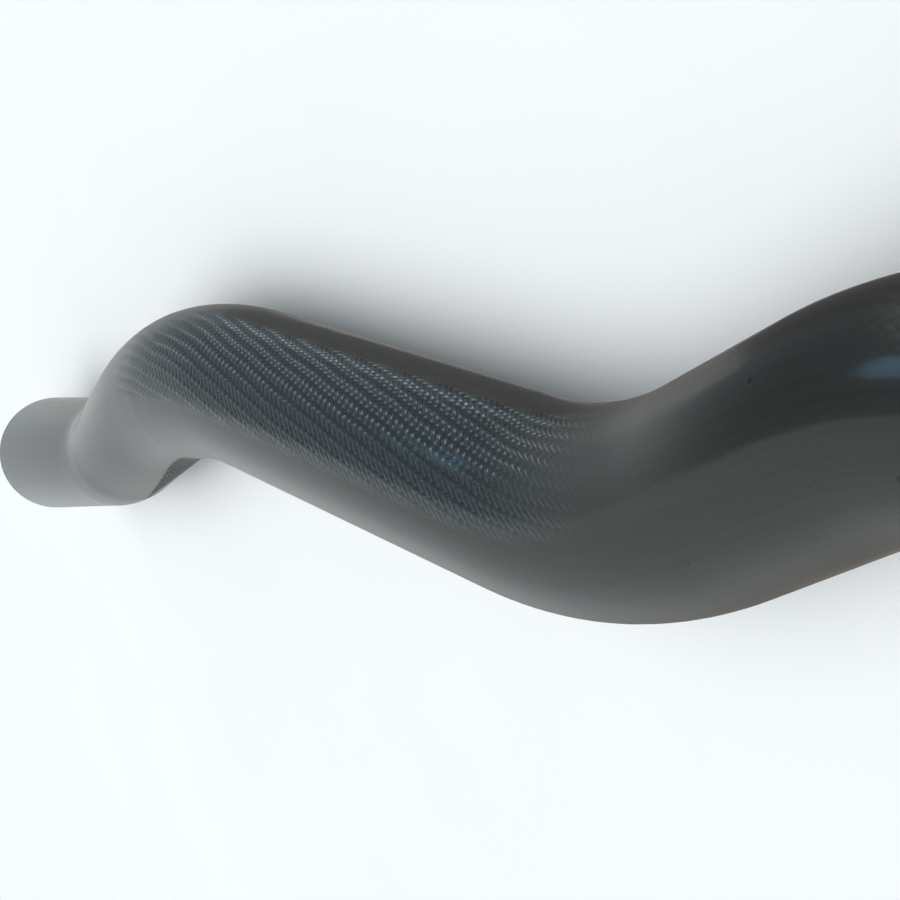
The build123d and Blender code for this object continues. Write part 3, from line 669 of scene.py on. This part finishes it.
milled = metal("bare_alloy", 0.3)
milled_marks = brushed(milled, (5.0, 5.0, 0.25), 0.03, 0.24, 0.40)
milled.set(Base_Color=milled.blend(milled_marks, (0.60, 0.61, 0.63, 1), (0.76, 0.77, 0.78, 1)))

ground = metal("pick_steel", 0.35)
ground_marks = brushed(ground, (6.0, 0.22, 6.0), 0.03, 0.26, 0.46)
pick_low, pick_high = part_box("pick")
tip_bright = 70.0  # mm of the pick that use keeps bright
to_tip = ground.ramp(ground.parts(ground.place)[1], pick_high.y / MM - tip_bright, pick_high.y / MM)
stain = ground.ramp(ground.noise(ground.place, 0.12, 5.0, 0.65), 0.42, 0.68)
steel = ground.blend(ground_marks, (0.46, 0.465, 0.465, 1), (0.62, 0.62, 0.61, 1))
stained = ground.blend(stain, steel, (0.40, 0.385, 0.36, 1))
bright = ground.math("MAXIMUM", ground.worn_edge(0.6), ground.math("MULTIPLY", to_tip, 0.35))
ground.set(Base_Color=ground.blend(bright, stained, (0.80, 0.80, 0.79, 1)))
print("pick's tip at y =", round(pick_high.y / MM, 1), "mm")

# %% [markdown]
# ## Forged and blasted steel
# The hammer and the spike are forged, then tumbled: a soft shine over shallow hollows, with small knocks
# where they strike. The two pick weights are blasted with beads, which makes an even, fine, matt grain.

# %% Tumbled forgings and bead-blasted plates
tumbled = metal("spike_steel", 0.5)
hollows = tumbled.noise(tumbled.place, 0.35, 3.0, 0.5)
knock_cells = tumbled.add("TexVoronoi", (), Vector=tumbled.place, Scale=0.42)
knocks = tumbled.ramp(knock_cells.outputs["Distance"], 0.0, 0.35)
tumbled_skin = tumbled.blend(hollows, (0.50, 0.50, 0.49, 1), (0.63, 0.63, 0.62, 1))
tumbled.set(
    Base_Color=tumbled.blend(tumbled.worn_edge(0.7), tumbled_skin, (0.70, 0.70, 0.69, 1)),
    Roughness=tumbled.ramp(tumbled.noise(tumbled.place, 2.0, 4.0, 0.7), 0.3, 0.7, 0.28, 0.44),
    Normal=tumbled.relief(knocks, 0.04, tumbled.relief(hollows, 0.12, tumbled.edges)),
)

blasted = metal("weight_steel", 0.3)
beads = blasted.noise(blasted.place, 5.0, 2.0, 0.7)
handled = blasted.ramp(blasted.noise(blasted.place, 0.15, 3.0), 0.4, 0.65)
blasted_skin = blasted.blend(handled, (0.50, 0.49, 0.47, 1), (0.59, 0.58, 0.56, 1))
blasted.set(
    Base_Color=blasted.blend(blasted.worn_edge(0.4), blasted_skin, (0.72, 0.71, 0.69, 1)),
    Roughness=blasted.ramp(handled, 0.0, 1.0, 0.56, 0.46),
    Normal=blasted.relief(beads, 0.03, blasted.edges),
)
print("steel finishes:", [name for name in finishes if "steel" in name])

# %% [markdown]
# ## Fasteners
# The screws are blackened and oiled, the nuts and washers are zinc plated with a thin passivation that drifts
# between straw and blue, and the rivets are bare stainless. They are small, so their finish has to read from
# roughness and edges more than from texture.

# %% Blackened, plated and stainless steel
blackened = metal("black_steel", 0.25)
oil = blackened.noise(blackened.place, 0.9, 4.0, 0.6)
oiled_skin = blackened.blend(oil, (0.030, 0.032, 0.036, 1), (0.060, 0.060, 0.064, 1))
blackened.set(
    Base_Color=blackened.blend(blackened.worn_edge(0.35), oiled_skin, (0.40, 0.39, 0.38, 1)),
    Roughness=blackened.ramp(oil, 0.3, 0.7, 0.28, 0.46),
    Normal=blackened.relief(blackened.noise(blackened.place, 4.0, 2.0), 0.02, blackened.edges),
)

plated = metal("plated_steel", 0.25)
film = plated.ramp(plated.noise(plated.place, 0.22, 3.0), 0.35, 0.65)
crystals = plated.noise(plated.place, 6.0, 3.0, 0.6)
plated.set(
    Base_Color=plated.blend(film, (0.60, 0.64, 0.68, 1), (0.70, 0.665, 0.58, 1)),
    Roughness=plated.ramp(crystals, 0.3, 0.7, 0.22, 0.36),
    Normal=plated.relief(crystals, 0.012, plated.edges),
)

stainless = metal("rivet_steel", 0.3)
rivet_marks = brushed(stainless, (5.0, 0.5, 5.0), 0.02, 0.24, 0.38)
stainless.set(Base_Color=stainless.blend(rivet_marks, (0.50, 0.50, 0.49, 1), (0.64, 0.64, 0.62, 1)))
print("finishes so far:", len(finishes))


# %% [markdown]
# ## Plastics and rubber
# The trigger, its shoe and the ring under the skirt are moulded nylon, from a mould that was spark eroded: an
# even pebbled grain that handling polishes on the edges. The liner is a smooth bearing polymer. The finger pad
# is rubber, with ribs across the finger, which are laid out by their angle round the hollow.

# %% Moulded nylon
def moulded(name, edge_radius):
    """Not a metal: a plastic or rubber with eased edges."""
    finish = Finish(name)
    finish.edges = finish.eased_edge(edge_radius)
    finishes[name] = finish
    return finish


nylon = moulded("black_nylon", 0.5)
pebbles = nylon.add("TexVoronoi", {"feature": "SMOOTH_F1"}, Vector=nylon.place, Scale=2.6).outputs["Distance"]
flow = nylon.noise(nylon.place, 0.12, 3.0)
polished = nylon.worn_edge(0.8)
nylon.set(
    Base_Color=nylon.blend(flow, (0.018, 0.019, 0.020, 1), (0.030, 0.031, 0.032, 1)),
    Roughness=nylon.math("MULTIPLY_ADD", polished, -0.18, nylon.ramp(flow, 0.3, 0.7, 0.50, 0.60)),
    Normal=nylon.relief(pebbles, 0.06, nylon.edges),
)

# %% Liner and finger pad
liner = moulded("liner_polymer", 0.2)
swirl = liner.noise(liner.scaled(liner.place, (0.3, 2.0, 2.0)), 1.0, 3.0)
liner.set(
    Base_Color=liner.blend(swirl, (0.46, 0.47, 0.46, 1), (0.56, 0.57, 0.55, 1)),
    Roughness=liner.ramp(swirl, 0.3, 0.7, 0.30, 0.42),
    Normal=liner.relief(swirl, 0.02, liner.edges),
)

pad_low, pad_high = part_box("finger_pad")
hollow_r = 12.0
rib_pitch = 1.9
hollow_centre = (pad_low.x / MM + hollow_r, (pad_low.y + pad_high.y) / 2 / MM)
rubber = moulded("pad_rubber", 0.3)
pad_x, pad_y, pad_z = rubber.parts(rubber.vector("SUBTRACT", rubber.place, (*hollow_centre, 0.0)).outputs[0])
arc = rubber.math("MULTIPLY", rubber.math("ARCTAN2", pad_y, rubber.math("MULTIPLY", pad_x, -1.0)), hollow_r)
rib_wave = rubber.math("SINE", rubber.math("MULTIPLY", arc, 2 * math.pi / rib_pitch))
rib = rubber.ramp(rib_wave, -0.4, 0.4)
crumb = rubber.noise(rubber.place, 3.5, 3.0, 0.7)
# In the colour below, the grooves between the ribs are painted darker than the rib tops: painted shade in the
# grooves.
rubber.set(
    Base_Color=rubber.blend(rib, (0.014, 0.015, 0.016, 1), (0.040, 0.042, 0.044, 1)),
    Roughness=rubber.ramp(crumb, 0.3, 0.7, 0.70, 0.84),
    Normal=rubber.relief(crumb, 0.03, rubber.relief(rib, 0.35, rubber.edges)),
)
print("pad's hollow centre in mm:", [round(v, 1) for v in hollow_centre])

# %% [markdown]
# ## Dressing the pieces
# Each node takes the material of its slot. The check at the end matters more than the loop: a piece without a
# recipe would show as plain grey in some view and be found late.

# %% Put the finishes on
for name, node in nodes.items():
    node.data.materials.clear()
    node.data.materials.append(finishes[slot_of[name]].material)
assert not set(slot_of.values()) - set(finishes), "a slot has no recipe"
print("dressed", len(nodes), "pieces in", len(finishes), "finishes")
